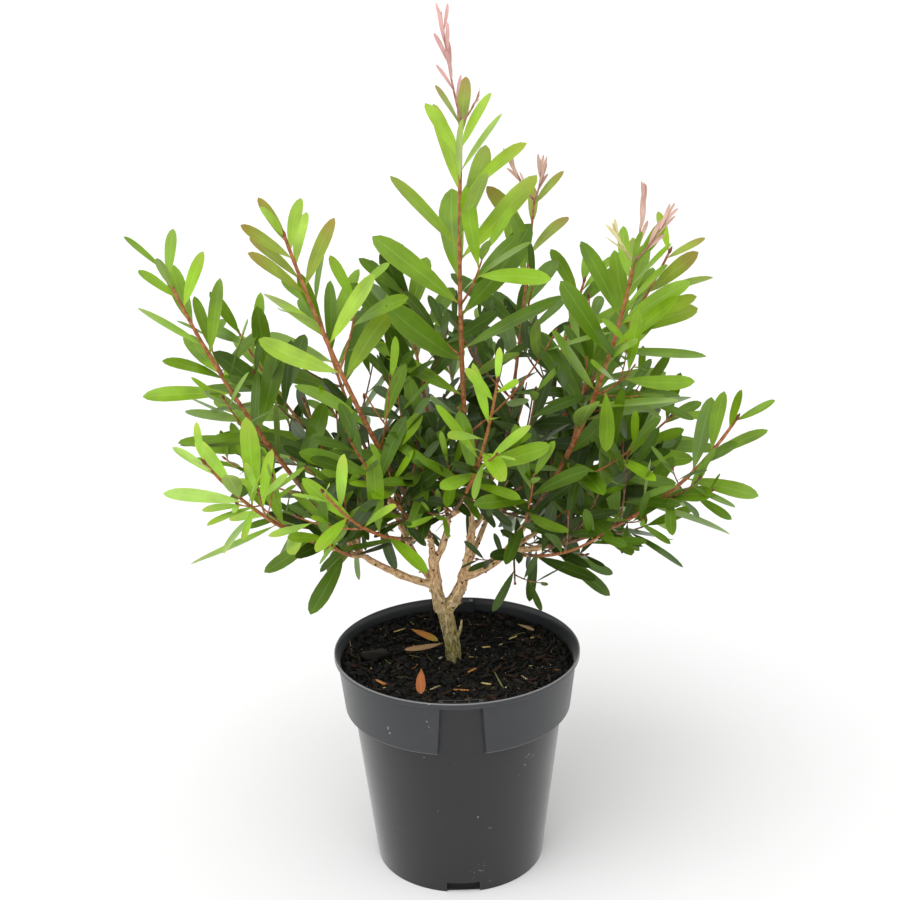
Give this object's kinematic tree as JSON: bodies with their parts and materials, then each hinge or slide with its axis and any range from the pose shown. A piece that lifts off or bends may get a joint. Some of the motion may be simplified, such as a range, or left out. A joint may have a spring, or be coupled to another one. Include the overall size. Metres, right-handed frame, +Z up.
{
  "type": "bottlebrush plant in a nursery pot",
  "caption": "Young evergreen shrub with lance-shaped leaves on arching shoots, in a round plastic nursery pot filled with soil.",
  "frame": {"origin": "centre of the pot's flat underside", "axes": "+Z up the plant, -Y towards its front, which is the side the picture shows, +X to the right seen from the front"},
  "size_m": [0.5438, 0.4074, 0.776],
  "materials": {
    "pot_plastic": "dark grey moulded polypropylene, lightly scuffed",
    "soil": "moist dark potting mix of peat, bark and fibre",
    "bark": "flaky grey-brown bark, red-brown on young shoots",
    "foliage_lime": "satin yellow-green leaves",
    "foliage_fresh": "satin bright green leaves, some tips pink",
    "foliage_mature": "satin mid green leaves"
  },
  "bodies": {
    "root": {"pot": "pot_plastic", "soil": "soil", "trunk": "bark", "left_limb": "bark", "right_limb": "bark", "left_outer_bough": "bark", "left_upright_bough": "bark", "left_leaning_bough": "bark", "left_rear_bough": "bark", "right_upright_bough": "bark", "right_outer_bough": "bark", "right_rear_bough": "bark", "rear_bough": "bark", "foliage_leader": "foliage_fresh", "foliage_left_tall": "foliage_fresh", "foliage_far_left": "foliage_fresh", "foliage_low_left": "foliage_lime", "foliage_front_left": "foliage_lime", "foliage_front_centre": "foliage_lime", "foliage_right_tall": "foliage_fresh", "foliage_far_right": "foliage_mature", "foliage_right_rear_tall": "foliage_fresh", "foliage_rear_right_tip": "foliage_fresh", "foliage_rear_left_tip": "foliage_mature", "foliage_left_rear": "foliage_mature", "foliage_left_inner": "foliage_mature", "foliage_under_left": "foliage_mature", "foliage_under_right": "foliage_mature", "foliage_right_inner": "foliage_mature", "foliage_centre_inner": "foliage_mature", "foliage_left_middle": "foliage_mature", "foliage_rear_left_tall": "foliage_mature", "foliage_rear_far_left": "foliage_mature", "foliage_rear_low_left": "foliage_mature", "foliage_rear_right_tall": "foliage_mature", "foliage_rear_far_right": "foliage_mature", "foliage_rear_low_right": "foliage_mature", "foliage_rear_centre": "foliage_mature"}
  },
  "joints": []
}
